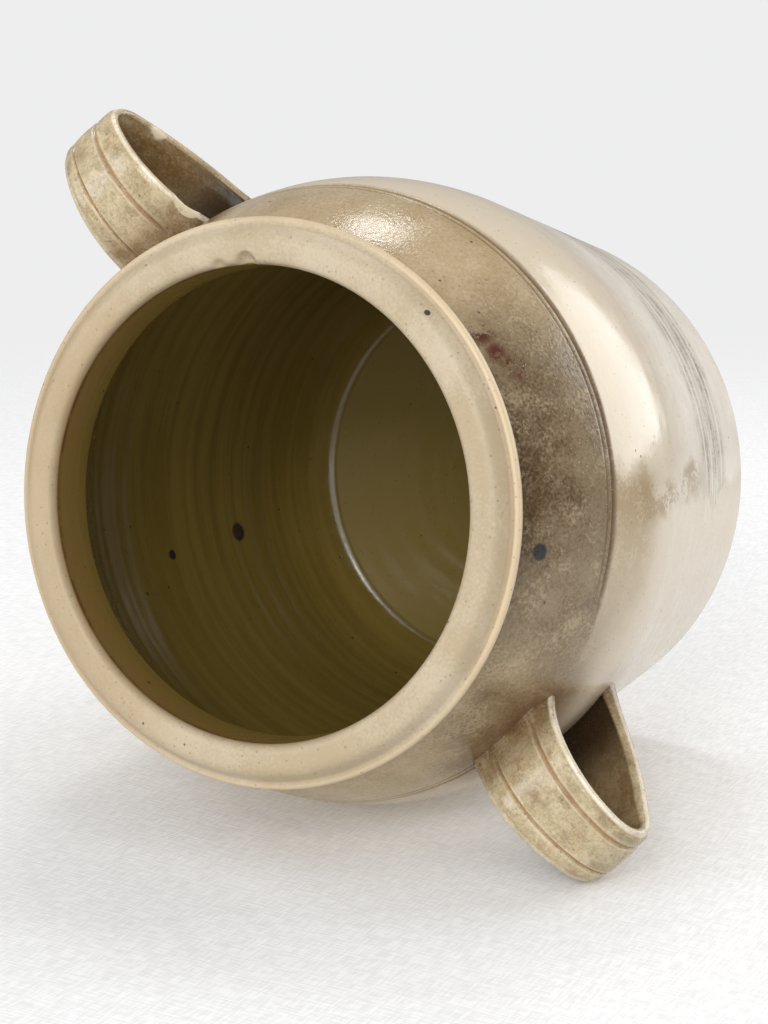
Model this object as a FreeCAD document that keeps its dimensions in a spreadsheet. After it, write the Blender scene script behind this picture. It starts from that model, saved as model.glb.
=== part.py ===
import FreeCAD, Part
import math
import os
import re
import Sketcher

# Stoneware bean pot: a thrown pot with a collared rim, and two pulled strap handles luted to its
# shoulder and belly. Millimetres. The origin is the centre of the foot, +Z runs up the axis, and the
# handles lie close to the X axis, both a little round from it towards -Y.

SIZES = [
    # body
    ("potHeight", 211.3, "top of the lip above the foot"),
    ("bellyRadius", 112.2, "widest radius of the belly, and the radius of the domed shoulder"),
    ("bellyDrop", 84.3, "widest point below the top of the lip"),
    ("bellyCurve", 140.0, "profile radius just below the widest point"),
    ("footInset", 14.1, "foot inside the widest radius"),
    ("footBevel", 1.6, "bevel around the foot"),
    ("wallThickness", 8.5, "thickness of the wall"),
    ("floorThickness", 11.0, "thickness of the floor"),
    ("floorCorner", 6.0, "slope between the floor and the wall"),
    # rim and mouth
    ("rimInset", 17.2, "arris of the rim inside the widest radius"),
    ("rimWidth", 16.0, "from the arris in to the throat"),
    ("lipWidth", 10.5, "flat of the lip, out from the throat"),
    ("ledgeWidth", 2.6, "ledge between the arris and the bevel around the lip"),
    ("ledgeDrop", 5.4, "ledge below the top of the lip"),
    ("skirtHeight", 4.4, "height of the rim below its ledge"),
    ("skirtTuck", 0.9, "how far the rim leans back in on that height"),
    ("neckTuck", 5.0, "neck inside the arris, where the shoulder meets the underside of the rim"),
    ("mouthBevel", 1.6, "easing of the mouth edge"),
    ("arrisBevel", 0.8, "easing of the arris"),
    # line incised on the shoulder
    ("lineRise", 32.0, "height of the incised line above the widest point"),
    ("lineWidth", 2.2, "its width"),
    ("lineDepth", 0.8, "its depth"),
    # path of a strap handle, along its inner face
    ("fingerRoom", 42.4, "outer end of the finger hole, out from the widest radius"),
    ("gripRise", 31.1, "height of that outer end above the widest point"),
    ("topRootRise", 28.3, "upper root, on the shoulder, above the widest point"),
    ("topSweep", 30.0, "radius of the upper leg"),
    ("topBend", 9.5, "radius of the bend above the outer end"),
    ("bottomBend", 9.5, "radius of the bend below the outer end"),
    ("bottomSweep", 100.0, "radius of the lower leg"),
    ("bottomRootDrop", 6.6, "lower root, on the belly, below the widest point"),
    # section of the strap
    ("strapWidth", 27.0, "width at the outer end"),
    ("rootWidth", 38.8, "width at the roots, before the smear"),
    ("rootSmear", 6.0, "extra width where the clay is smeared on to the wall"),
    ("rootSwell", 5.0, "extra thickness there"),
    ("smearRun", 8.0, "how far the smear reaches along the strap"),
    ("edgeThickness", 5.6, "thickness along the two edges"),
    ("sideRib", 1.0, "height of the two side ribs above the edges"),
    ("middleRib", 1.9, "height of the middle rib above the edges"),
    ("middleShare", 0.4, "middle rib as a share of the width"),
    ("grooveWidth", 1.6, "width of the two grooves beside it"),
    ("slipJoint", 0.1, "layer of slip between a handle and the wall"),
]

# Places that follow from the sizes.
PLACES = {
    "bellyHeight": "(potHeight - bellyDrop)",
    "footRadius": "(bellyRadius - footInset)",
    "rimRadius": "(bellyRadius - rimInset)",
    "mouthRadius": "(rimRadius - rimWidth)",
    "lipRadius": "(mouthRadius + lipWidth)",
    "ledgeRadius": "(rimRadius - ledgeWidth)",
    "ledgeHeight": "(potHeight - ledgeDrop)",
    "neckRadius": "(rimRadius - neckTuck)",
    "neckHeight": "(bellyHeight + sqrt(bellyRadius ^ 2 - neckRadius ^ 2))",
    "lineHeight": "(bellyHeight + lineRise)",
    "gripReach": "(bellyRadius + fingerRoom)",
    "gripHeight": "(bellyHeight + gripRise)",
    "topRootHeight": "(bellyHeight + topRootRise)",
    "bottomRootHeight": "(bellyHeight - bottomRootDrop)",
    "wallMiddle": "(bellyRadius - 2 * wallThickness)",
}

# Heights at which the inside turns from one facet to the next, as shares of the dome below the throat.
INSIDE_FACETS = [1, 0.66, 0.25]

# Degrees by which each handle stands round from the X axis, towards -Y.
HANDLE_LEAN = 3.8

# How the sketcher numbers its origin and the points of an edge.
ORIGIN = (-1, 1)
START, END, CENTRE = range(1, 4)

doc = FreeCAD.newDocument("BeanPot")
sheet = doc.addObject("Spreadsheet::Sheet", "Sizes")
for row, (alias, number, note) in enumerate(SIZES, start=1):
    sheet.set(f"A{row}", alias)
    sheet.set(f"B{row}", str(number))
    sheet.set(f"C{row}", note)
    sheet.setAlias(f"B{row}", alias)
doc.recompute()
ALIASES = {alias for alias, number, note in SIZES}


def formula(words):
    """An expression in which every place is spelt out and every size is read from the sheet."""
    for name in reversed(PLACES):
        words = words.replace(name, PLACES[name])
    return re.sub(r"[A-Za-z]+", lambda word: f"Sizes.{word[0]}" if word[0] in ALIASES else word[0], words)


def value(words):
    """What a formula comes to at present."""
    result = sheet.evalExpression(formula(words))
    return float(getattr(result, "Value", result))


class Drawing:
    """A sketch on one of a body's own origin planes, with its sizes driven by formulas."""

    def __init__(self, body, name, role):
        plane = next(item for item in body.Origin.OriginFeatures if item.Role == role)
        self.sketch = body.newObject("Sketcher::SketchObject", name)
        self.sketch.AttachmentSupport = [(plane, "")]
        self.sketch.MapMode = "FlatFace"
        self.driven = 0

    def line(self, start, end):
        ends = [FreeCAD.Vector(*point, 0) for point in (start, end)]
        return self.sketch.addGeometry(Part.LineSegment(*ends), False)

    def arc(self, centre, radius, low, high):
        """Arc that runs anticlockwise between two angles in degrees."""
        circle = Part.Circle(FreeCAD.Vector(*centre, 0), FreeCAD.Vector(0, 0, 1), radius)
        edge = Part.ArcOfCircle(circle, math.radians(low), math.radians(high))
        return self.sketch.addGeometry(edge, False)

    def tie(self, *constraint):
        return self.sketch.addConstraint(Sketcher.Constraint(*constraint))

    def join(self, first, second):
        self.tie("Coincident", *first, *second)

    def drive(self, words, kind, *where):
        """Adds a dimension that follows a formula."""
        index = self.tie(kind, *where, value(words))
        self.driven += 1
        name = f"{kind}{self.driven}"
        self.sketch.renameConstraint(index, name)
        self.sketch.setExpression(f"Constraints.{name}", formula(words))

    def fix(self, point, across, up):
        """Holds a point at two distances from the sketch's origin."""
        self.drive(across, "DistanceX", *ORIGIN, *point)
        self.drive(up, "DistanceY", *ORIGIN, *point)

    def chain(self, corners):
        """Straight lines through corners that are each given as two formulas."""
        spots = [(value(across), value(up)) for across, up in corners]
        lines = [self.line(*pair) for pair in zip(spots, spots[1:])]
        for before, after in zip(lines, lines[1:]):
            self.join((before, END), (after, START))
        return lines


def shoulder_radius(height):
    """Formula for the outer radius of the shoulder at a height."""
    return f"sqrt(bellyRadius ^ 2 - ({height} - bellyHeight) ^ 2)"


def belly_radius(height):
    """Formula for the outer radius of the wall just below the widest point."""
    return f"bellyRadius - bellyCurve + sqrt(bellyCurve ^ 2 - ({height} - bellyHeight) ^ 2)"


def draw_wall(drawing, offset, top):
    """The wall's cone, belly arc and domed shoulder, an offset outside its outer face."""
    widest = (value(f"bellyRadius + {offset}"), value("bellyHeight"))
    curve = value(f"bellyCurve + {offset}")
    belly_centre = (widest[0] - curve, widest[1])
    dome_centre = (0, widest[1])
    # the cone leaves the foot and touches the belly arc
    foot = (value(f"footRadius + {offset}"), value("footBevel"))
    across = foot[0] - belly_centre[0]
    up = foot[1] - belly_centre[1]
    turn = math.atan2(up, across) + math.acos(curve / math.hypot(across, up))
    touch = (belly_centre[0] + curve * math.cos(turn),
             belly_centre[1] + curve * math.sin(turn))
    crown = math.degrees(math.asin((value(top) - widest[1]) / widest[0]))
    cone = drawing.line(foot, touch)
    belly = drawing.arc(belly_centre, curve, math.degrees(turn), 0)
    shoulder = drawing.arc(dome_centre, widest[0], 0, crown)
    drawing.tie("Tangent", cone, END, belly, START)
    drawing.fix((belly, END), f"bellyRadius + {offset}", "bellyHeight")
    drawing.tie("Horizontal", belly, CENTRE, belly, END)
    drawing.drive(f"bellyCurve + {offset}", "Radius", belly)
    drawing.join((shoulder, START), (belly, END))
    drawing.tie("Horizontal", shoulder, CENTRE, shoulder, START)
    drawing.tie("Vertical", shoulder, CENTRE, *ORIGIN)
    return cone, belly, shoulder


def make_pot():
    body = doc.addObject("PartDesign::Body", "PotBody")
    body.Label = "pot_body"
    drawing = Drawing(body, "PotProfile", "XZ_Plane")
    cone, belly, shoulder = draw_wall(drawing, "0", "neckHeight")

    # the inside follows the outside in straight facets, from the throat down to the floor
    throat_rise = "sqrt((bellyRadius - wallThickness) ^ 2 - mouthRadius ^ 2)"
    inside = []
    for share in INSIDE_FACETS:
        rise = f"{share} * {throat_rise}"
        inside.append((f"sqrt((bellyRadius - wallThickness) ^ 2 - ({rise}) ^ 2)", f"bellyHeight + {rise}"))
    waist = "(bellyHeight - 2 * wallThickness)"
    inside.append((f"{belly_radius(waist)} - wallThickness", waist))
    inside.append(("footRadius - wallThickness + 0.1 * floorCorner", "floorThickness + floorCorner"))
    inside.append(("footRadius - wallThickness - floorCorner", "floorThickness"))
    inside.append(("0", "floorThickness"))

    outline = [
        ("neckRadius", "neckHeight"),
        ("rimRadius - skirtTuck", "ledgeHeight - skirtHeight"),
        ("rimRadius", "ledgeHeight - arrisBevel"),
        ("rimRadius - arrisBevel", "ledgeHeight"),
        ("ledgeRadius", "ledgeHeight"),
        ("lipRadius", "potHeight"),
        ("mouthRadius + mouthBevel", "potHeight"),
        ("mouthRadius", "potHeight - mouthBevel"),
    ] + inside
    rim = drawing.chain(outline)
    for edge, corner in zip(rim[:-1], outline[1:-1]):
        drawing.fix((edge, END), *corner)
    drawing.drive("neckHeight", "DistanceY", *ORIGIN, shoulder, END)
    drawing.join((shoulder, END), (rim[0], START))
    drawing.tie("Vertical", rim[-1], END, *ORIGIN)
    drawing.tie("Horizontal", rim[-1])

    foot = drawing.chain([("0", "0"), ("footRadius - footBevel", "0"), ("footRadius", "footBevel")])
    drawing.join((foot[0], START), ORIGIN)
    drawing.fix((foot[0], END), "footRadius - footBevel", "0")
    drawing.fix((foot[1], END), "footRadius", "footBevel")
    drawing.join((foot[1], END), (cone, START))

    axis = drawing.line((0, 0), (0, value("floorThickness")))
    drawing.join((axis, START), ORIGIN)
    drawing.join((axis, END), (rim[-1], END))
    doc.recompute()

    turned = body.newObject("PartDesign::Revolution", "ThrownWall")
    turned.Profile = drawing.sketch
    turned.ReferenceAxis = (drawing.sketch, ["V_Axis"])
    turned.Angle = 360
    doc.recompute()

    lines = Drawing(body, "IncisedLine", "XZ_Plane")
    face = shoulder_radius("lineHeight")
    corners = [(f"{face} + lineDepth", "lineHeight + lineWidth"),
               (f"{face} - lineDepth", "lineHeight"),
               (f"{face} + lineDepth", "lineHeight - lineWidth")]
    notch = lines.chain(corners + corners[:1])
    for edge, corner in zip(notch, corners):
        lines.fix((edge, START), *corner)
    lines.join((notch[-1], END), (notch[0], START))
    doc.recompute()
    incised = body.newObject("PartDesign::Groove", "ShoulderLine")
    incised.Profile = lines.sketch
    incised.ReferenceAxis = (lines.sketch, ["V_Axis"])
    incised.Angle = 360
    doc.recompute()
    return body


def meeting(first, first_reach, second, second_reach, above):
    """Point at two distances from two others, the higher or the lower of the two that there are."""
    gap = math.dist(first, second)
    along = (first_reach ** 2 - second_reach ** 2 + gap ** 2) / (2 * gap)
    aside = math.sqrt(first_reach ** 2 - along ** 2)
    right = ((second[0] - first[0]) / gap, (second[1] - first[1]) / gap)
    spots = [(first[0] + along * right[0] - side * aside * right[1],
              first[1] + along * right[1] + side * aside * right[0]) for side in (1, -1)]
    return max(spots, key=lambda spot: spot[1]) if above else min(spots, key=lambda spot: spot[1])


def heading(centre, point):
    """Direction from a centre to a point, in degrees."""
    return math.degrees(math.atan2(point[1] - centre[1], point[0] - centre[0]))


class StrapOutline:
    """Side view of a strap: an inner face of four arcs that run into each other, and an outer face."""

    def __init__(self, body, name):
        self.drawing = Drawing(body, name, "XZ_Plane")
        self.roots = [(shoulder_radius("topRootHeight"), "topRootHeight"),
                      (belly_radius("bottomRootHeight"), "bottomRootHeight")]
        self.inner = self.face("0")

    def face(self, offset):
        """Upper leg, upper bend, lower bend and lower leg, an offset outside the inner face."""
        drawing = self.drawing
        bends = [(value(f"gripReach - {bend}"), value("gripHeight")) for bend in ("topBend", "bottomBend")]
        legs = []
        for root, sweep, bend, centre in zip(self.roots, ("topSweep", "bottomSweep"),
                                             ("topBend", "bottomBend"), bends):
            spot = (value(root[0]), value(root[1]))
            reaches = value(sweep), value(f"{sweep} - {bend}")
            legs.append(meeting(spot, reaches[0], centre, reaches[1], bend == "bottomBend"))
        turns = [heading(legs[0], bends[0]), heading(legs[1], bends[1])]
        ends = []
        for leg, sweep, root, side in zip(legs, ("topSweep", "bottomSweep"), self.roots, (1, -1)):
            across = value(root[0] if offset == "0" else f"{root[0]} + smearRun") - leg[0]
            ends.append(side * math.degrees(math.acos(across / value(f"{sweep} + {offset}"))))
        upper_leg = drawing.arc(legs[0], value(f"topSweep + {offset}"), turns[0], ends[0])
        upper_bend = drawing.arc(bends[0], value(f"topBend + {offset}"), 0, turns[0])
        lower_bend = drawing.arc(bends[1], value(f"bottomBend + {offset}"), turns[1], 0)
        lower_leg = drawing.arc(legs[1], value(f"bottomSweep + {offset}"), ends[1], turns[1])
        drawing.fix((upper_bend, CENTRE), "gripReach - topBend", "gripHeight")
        drawing.tie("Horizontal", upper_bend, CENTRE, upper_bend, START)
        drawing.tie("Tangent", lower_bend, END, upper_bend, START)
        drawing.tie("Tangent", upper_bend, END, upper_leg, START)
        drawing.tie("Tangent", lower_leg, END, lower_bend, START)
        arcs = [upper_leg, upper_bend, lower_bend, lower_leg]
        for arc, size in zip(arcs, ("topSweep", "topBend", "bottomBend", "bottomSweep")):
            drawing.drive(f"{size} + {offset}", "Radius", arc)
        if offset == "0":
            drawing.fix((upper_leg, END), *self.roots[0])
            drawing.fix((lower_leg, START), *self.roots[1])
        else:
            drawing.tie("Vertical", upper_leg, CENTRE, self.inner[0], CENTRE)
            drawing.tie("Vertical", lower_leg, CENTRE, self.inner[3], CENTRE)
        return arcs

    def close(self, offset):
        """Closes the outline with an outer face, smeared out towards the wall."""
        drawing = self.drawing
        outer = self.face(offset)
        legs = [(self.inner[0], END, outer[0], END, self.roots[0], 1),
                (self.inner[3], START, outer[3], START, self.roots[1], -1)]
        for inner, inner_end, arc, arc_end, root, side in legs:
            drawing.drive(f"{root[0]} + smearRun", "DistanceX", *ORIGIN, arc, arc_end)
            rise = f"{root[1]} + ({side}) * ({offset} + rootSwell)"
            swell = drawing.chain([(f"{root[0]} + smearRun", f"{root[1]} + ({side}) * ({offset})"),
                                   (root[0], rise), ("wallMiddle", rise), ("wallMiddle", root[1]), root])
            drawing.join((swell[0], START), (arc, arc_end))
            drawing.fix((swell[0], END), root[0], rise)
            drawing.fix((swell[1], END), "wallMiddle", rise)
            drawing.fix((swell[2], END), "wallMiddle", root[1])
            drawing.join((swell[3], END), (inner, inner_end))


def pad_strap(body, name, offset, width):
    """Strap of an even width whose outer face lies at an offset from its inner face."""
    outline = StrapOutline(body, f"{name}Outline")
    outline.close(offset)
    doc.recompute()
    pad = body.newObject("PartDesign::Pad", name)
    pad.Profile = outline.drawing.sketch
    pad.Midplane = True
    pad.setExpression("Length", formula(width))
    doc.recompute()


def cut_from_above(body, name, corners):
    """Cuts through the strap inside an outline seen from above, and inside its mirror image."""
    plan = Drawing(body, f"{name}Plan", "XY_Plane")
    for side in (1, -1):
        spots = [(across, f"({side}) * ({aside})") for across, aside in corners]
        ring = plan.chain(spots + spots[:1])
        for edge, spot in zip(ring, spots):
            plan.fix((edge, START), *spot)
        plan.join((ring[-1], END), (ring[0], START))
    doc.recompute()
    pocket = body.newObject("PartDesign::Pocket", name)
    pocket.Profile = plan.sketch
    pocket.Type = "ThroughAll"
    pocket.Midplane = True
    doc.recompute()


def make_handle(name, label, turn):
    """A strap handle on the +X side, turned about the pot's axis to its own side."""
    body = doc.addObject("PartDesign::Body", name)
    body.Label = label
    near = "wallMiddle"
    far = "(gripReach + 4 * edgeThickness)"
    slope = "((rootWidth - strapWidth) / 2 / (gripReach - bellyRadius))"
    near_half = f"(strapWidth / 2 + {slope} * (gripReach - {near}))"
    far_half = f"(strapWidth / 2 + {slope} * (gripReach - {far}))"
    beyond = "rootWidth"

    near_rib = f"{near_half} * middleShare"
    far_rib = f"{far_half} * middleShare"
    smear_end = "(bellyRadius + smearRun)"
    smear_half = f"(strapWidth / 2 + {slope} * (gripReach - {smear_end}))"

    # each layer is cut to its outline before the next and lower one fills in around it
    pad_strap(body, f"{name}MiddleRib", "(edgeThickness + middleRib)", "rootWidth")
    cut_from_above(body, f"{name}MiddleRibSides", [
        (near, near_rib), (far, far_rib), (far, beyond), (near, beyond)])
    pad_strap(body, f"{name}SideRibs", "(edgeThickness + sideRib)", "rootWidth + rootSmear")
    cut_from_above(body, f"{name}Grooves", [
        (near, near_rib), (far, far_rib),
        (far, f"{far_rib} + grooveWidth"), (near, f"{near_rib} + grooveWidth")])
    pad_strap(body, f"{name}Strap", "edgeThickness", "rootWidth + rootSmear")
    cut_from_above(body, f"{name}Taper", [
        (near, "rootWidth / 2 + rootSmear"), (smear_end, smear_half), (far, far_half),
        (far, beyond), (near, beyond)])

    seat = Drawing(body, f"{name}Seat", "XZ_Plane")
    cone, belly, shoulder = draw_wall(seat, "slipJoint", "neckHeight")
    seat.fix((cone, START), "footRadius + slipJoint", "footBevel")
    seat.drive("neckHeight", "DistanceY", *ORIGIN, shoulder, END)
    neck = value(f"{shoulder_radius('neckHeight')} + slipJoint")
    lid = seat.line((neck, value("neckHeight")), (0, value("neckHeight")))
    axis = seat.line((0, value("neckHeight")), (0, value("footBevel")))
    base = seat.line((0, value("footBevel")), (value("footRadius"), value("footBevel")))
    seat.join((shoulder, END), (lid, START))
    seat.tie("Horizontal", lid)
    seat.tie("Vertical", lid, END, *ORIGIN)
    seat.join((lid, END), (axis, START))
    seat.tie("Vertical", axis)
    seat.join((axis, END), (base, START))
    seat.tie("Horizontal", base)
    seat.join((base, END), (cone, START))
    doc.recompute()
    trim = body.newObject("PartDesign::Groove", f"{name}Trim")
    trim.Profile = seat.sketch
    trim.ReferenceAxis = (seat.sketch, ["V_Axis"])
    trim.Angle = 360
    doc.recompute()
    about_axis = FreeCAD.Rotation(FreeCAD.Vector(0, 0, 1), turn)
    body.Placement = FreeCAD.Placement(FreeCAD.Vector(0, 0, 0), about_axis)
    return body


parts = [
    make_pot(),
    make_handle("RightHandle", "right_handle", -HANDLE_LEAN),
    make_handle("LeftHandle", "left_handle", 180 + HANDLE_LEAN),
]
doc.recompute()

for item in doc.Objects:
    failed = {"Invalid", "Error"} & set(item.State)
    if failed:
        raise RuntimeError(f"{item.Name} did not build: {item.State}")
for body in parts:
    if body.Shape.isNull() or not body.Shape.isValid():
        raise RuntimeError(f"{body.Label} is not a sound solid")

os.makedirs("parts", exist_ok=True)
for body in parts:
    body.Shape.exportStep(f"parts/{body.Label}.step")
    box = body.Shape.BoundBox
    print(body.Label, len(body.Shape.Solids), "solid", round(body.Shape.Volume), "mm3",
          [round(edge, 1) for edge in (box.XMin, box.XMax, box.YMin, box.YMax, box.ZMin, box.ZMax)])
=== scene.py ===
import math

import bpy
import numpy as np
from mathutils import Matrix, Vector


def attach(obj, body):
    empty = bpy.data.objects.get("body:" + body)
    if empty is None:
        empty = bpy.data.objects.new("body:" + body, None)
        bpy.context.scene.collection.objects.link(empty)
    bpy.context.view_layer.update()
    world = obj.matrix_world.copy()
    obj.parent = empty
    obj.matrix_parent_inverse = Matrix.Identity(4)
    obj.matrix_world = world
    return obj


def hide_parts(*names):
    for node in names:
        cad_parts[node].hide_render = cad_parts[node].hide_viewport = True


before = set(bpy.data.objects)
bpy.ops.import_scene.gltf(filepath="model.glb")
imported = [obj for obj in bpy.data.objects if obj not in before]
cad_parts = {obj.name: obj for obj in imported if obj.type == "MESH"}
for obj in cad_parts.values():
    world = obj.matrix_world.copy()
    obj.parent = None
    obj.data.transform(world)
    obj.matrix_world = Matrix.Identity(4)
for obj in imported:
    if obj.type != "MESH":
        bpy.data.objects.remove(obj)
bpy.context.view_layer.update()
print("frame loaded", sorted(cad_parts))

mm = 0.001  # shapes are written in mm, and the frame is in metres
glazeIor = 1.5


# a colour written as it looks on a screen, as the linear one that shaders take
def tint(red, green, blue):
    def linear(part):
        part /= 255
        return part / 12.92 if part <= 0.04045 else ((part + 0.055) / 1.055) ** 2.4
    return linear(red), linear(green), linear(blue), 1.0


# node helpers

def node(tree, kind, inputs=None, **settings):
    made = tree.nodes.new(kind)
    for name, setting in settings.items():
        setattr(made, name, setting)
    for name, value in (inputs or {}).items():
        if isinstance(value, bpy.types.NodeSocket):
            tree.links.new(value, made.inputs[name])
        else:
            made.inputs[name].default_value = value
    return made


def calc(tree, operation, first, second=0.0, third=0.0, clamp=False):
    numbers = {0: first, 1: second, 2: third}
    made = node(tree, "ShaderNodeMath", numbers, operation=operation, use_clamp=clamp)
    return made.outputs[0]


def times(tree, first, second):
    return calc(tree, "MULTIPLY", first, second)


def most(tree, first, second):
    return calc(tree, "MAXIMUM", first, second)


def between(tree, value, low, high, start=0.0, end=1.0, kind="SMOOTHSTEP"):
    numbers = {"Value": value, "From Min": low, "From Max": high, "To Min": start, "To Max": end}
    made = node(tree, "ShaderNodeMapRange", numbers, interpolation_type=kind, clamp=True)
    return made.outputs[0]


# 1 between top and fall, and 0 below rise and above end
def hump(tree, value, rise, top, fall, end):
    up = between(tree, value, rise, top)
    down = between(tree, value, fall, end, 1.0, 0.0)
    return times(tree, up, down)


def blend(tree, factor, first, second):
    made = node(tree, "ShaderNodeMix", data_type="RGBA", clamp_factor=True)
    for name, value in (("Factor_Float", factor), ("A_Color", first), ("B_Color", second)):
        socket = next(item for item in made.inputs if item.identifier == name)
        if isinstance(value, bpy.types.NodeSocket):
            tree.links.new(value, socket)
        else:
            socket.default_value = value
    return next(item for item in made.outputs if item.identifier == "Result_Color")


def noise(tree, vector, scale, detail=3.0, roughness=0.55):
    numbers = {"Vector": vector, "Scale": scale, "Detail": detail, "Roughness": roughness}
    return node(tree, "ShaderNodeTexNoise", numbers).outputs["Fac"]


def vectorMath(tree, operation, *vectors):
    return node(tree, "ShaderNodeVectorMath", dict(enumerate(vectors)), operation=operation)


# a value that the mesh carries on its points
def carried(tree, name):
    return node(tree, "ShaderNodeAttribute", attribute_name=name).outputs["Fac"]


# an empty node group, with its input and output nodes
def newGroup(name, inputs, outputs):
    tree = bpy.data.node_groups.new(name, "ShaderNodeTree")
    for label, kind, default in inputs:
        socket = tree.interface.new_socket(label, in_out="INPUT", socket_type=kind)
        if default is not None:
            socket.default_value = default
    for label, kind in outputs:
        tree.interface.new_socket(label, in_out="OUTPUT", socket_type=kind)
    return tree, tree.nodes.new("NodeGroupInput"), tree.nodes.new("NodeGroupOutput")


def useGroup(tree, group, **inputs):
    return node(tree, "ShaderNodeGroup", inputs, node_tree=group)


# effects that both glazes share

# iron specks: round dots of mixed sizes, thinned out at random
def makeSpeckle():
    smallest, core = 0.35, 0.55
    tree, start, end = newGroup("IronSpecks", [
        ("Vector", "NodeSocketVector", None), ("Scale", "NodeSocketFloat", 250.0),
        ("Size", "NodeSocketFloat", 0.2), ("Share", "NodeSocketFloat", 0.2)],
        [("Mask", "NodeSocketFloat")])
    cells = node(tree, "ShaderNodeTexVoronoi", {
        "Vector": start.outputs["Vector"], "Scale": start.outputs["Scale"], "Randomness": 1.0})
    pick = node(tree, "ShaderNodeSeparateColor", {"Color": cells.outputs["Color"]})
    size = times(tree, start.outputs["Size"],
                 between(tree, pick.outputs["Green"], 0.0, 1.0, smallest, 1.0, "LINEAR"))
    dots = between(tree, cells.outputs["Distance"], times(tree, size, core), size, 1.0, 0.0)
    kept = calc(tree, "LESS_THAN", pick.outputs["Red"], start.outputs["Share"])
    tree.links.new(times(tree, dots, kept), end.inputs["Mask"])
    return tree


# clouding of a glaze at three scales, from 0 to 1 around 0.5
def makeMottle():
    broadPart, finePart, grainPart = 0.75, 0.35, 0.5
    usualSum, gain = 0.8, 1.9
    tree, start, end = newGroup("GlazeClouding", [
        ("Vector", "NodeSocketVector", None), ("Scale", "NodeSocketFloat", 30.0),
        ("Grain", "NodeSocketFloat", 900.0), ("Contrast", "NodeSocketFloat", 1.0)],
        [("Value", "NodeSocketFloat")])
    place, scale = start.outputs["Vector"], start.outputs["Scale"]
    broad = noise(tree, place, scale, 2.0)
    fine = noise(tree, place, times(tree, scale, 6.0), 4.0, 0.65)
    grain = noise(tree, place, start.outputs["Grain"], 3.0, 0.6)
    total = calc(tree, "MULTIPLY_ADD", fine, finePart, times(tree, broad, broadPart))
    total = calc(tree, "MULTIPLY_ADD", grain, grainPart, total)
    centred = calc(tree, "SUBTRACT", total, usualSum)
    contrast = times(tree, start.outputs["Contrast"], gain)
    value = calc(tree, "MULTIPLY_ADD", centred, contrast, 0.5, clamp=True)
    tree.links.new(value, end.inputs["Value"])
    return tree


# skin of an ash glaze: fine orange peel with a slower swell under it
def makeSkin():
    peelScale, swellScale = 620.0, 120.0
    tree, start, end = newGroup("GlazeSkin", [
        ("Vector", "NodeSocketVector", None), ("Peel", "NodeSocketFloat", 0.02),
        ("Swell", "NodeSocketFloat", 0.1), ("Pits", "NodeSocketFloat", 0.0)],
        [("Normal", "NodeSocketVector")])
    peel = noise(tree, start.outputs["Vector"], peelScale, 3.0, 0.6)
    swell = noise(tree, start.outputs["Vector"], swellScale, 2.0)
    height = calc(tree, "MULTIPLY_ADD", peel, start.outputs["Peel"],
                  times(tree, swell, start.outputs["Swell"]))
    height = calc(tree, "SUBTRACT", height, start.outputs["Pits"])
    bump = node(tree, "ShaderNodeBump", {"Height": height, "Strength": 1.0, "Distance": mm})
    tree.links.new(bump.outputs["Normal"], end.inputs["Normal"])
    return tree


# place on a turned pot: height in mm, azimuth in degrees, and a place drawn out round the pot
def makeTurned():
    drawnOut = (9.0, 9.0, 240.0)
    tree, start, end = newGroup("TurnedPlace", [("Vector", "NodeSocketVector", None)], [
        ("Height", "NodeSocketFloat"), ("Azimuth", "NodeSocketFloat"),
        ("Around", "NodeSocketVector")])
    split = node(tree, "ShaderNodeSeparateXYZ", {0: start.outputs["Vector"]})
    angle = calc(tree, "ARCTAN2", split.outputs["Y"], split.outputs["X"])
    degrees = times(tree, angle, 180 / math.pi)
    tree.links.new(times(tree, split.outputs["Z"], 1 / mm), end.inputs["Height"])
    tree.links.new(degrees, end.inputs["Azimuth"])
    drawn = vectorMath(tree, "MULTIPLY", start.outputs["Vector"], drawnOut)
    tree.links.new(drawn.outputs[0], end.inputs["Around"])
    return tree


speckleGroup = makeSpeckle()
mottleGroup = makeMottle()
skinGroup = makeSkin()
turnedGroup = makeTurned()
print("shared effects made")


def specksOf(tree, place, scale, size, share):
    made = useGroup(tree, speckleGroup, Vector=place, Scale=scale, Size=size, Share=share)
    return made.outputs["Mask"]


def cloudsOf(tree, place, scale, contrast, grain=900.0):
    made = useGroup(tree, mottleGroup, Vector=place, Scale=scale, Contrast=contrast, Grain=grain)
    return made.outputs["Value"]


def newMaterial(name):
    material = bpy.data.materials.new(name)
    material.use_nodes = True
    tree = material.node_tree
    tree.nodes.clear()
    return material, tree


def finishGlaze(tree, colour, rough, skin):
    shader = node(tree, "ShaderNodeBsdfPrincipled", {
        "Base Color": colour, "Roughness": rough, "Normal": skin.outputs["Normal"],
        "IOR": glazeIor})
    node(tree, "ShaderNodeOutputMaterial", {"Surface": shader.outputs[0]})


# shape helpers

def arcPoints(centre, radius, first, last, count):
    turn = np.radians(np.linspace(first, last, count))
    return np.c_[centre[0] + radius * np.cos(turn), centre[1] + radius * np.sin(turn)]


def bezierPoints(corners, count):
    share = np.linspace(0, 1, count)[:, None]
    first, second, third = (np.array(corner, float) for corner in corners)
    return (1 - share) ** 2 * first + 2 * (1 - share) * share * second + share ** 2 * third


def smoothStep(value, low, high):
    share = np.clip((value - low) / (high - low), 0, 1)
    return share * share * (3 - 2 * share)


# nine weights under a bell, which add up to one
def bellWeights():
    weights = np.exp(-np.linspace(-2, 2, 9) ** 2)
    return weights / weights.sum()


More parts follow.
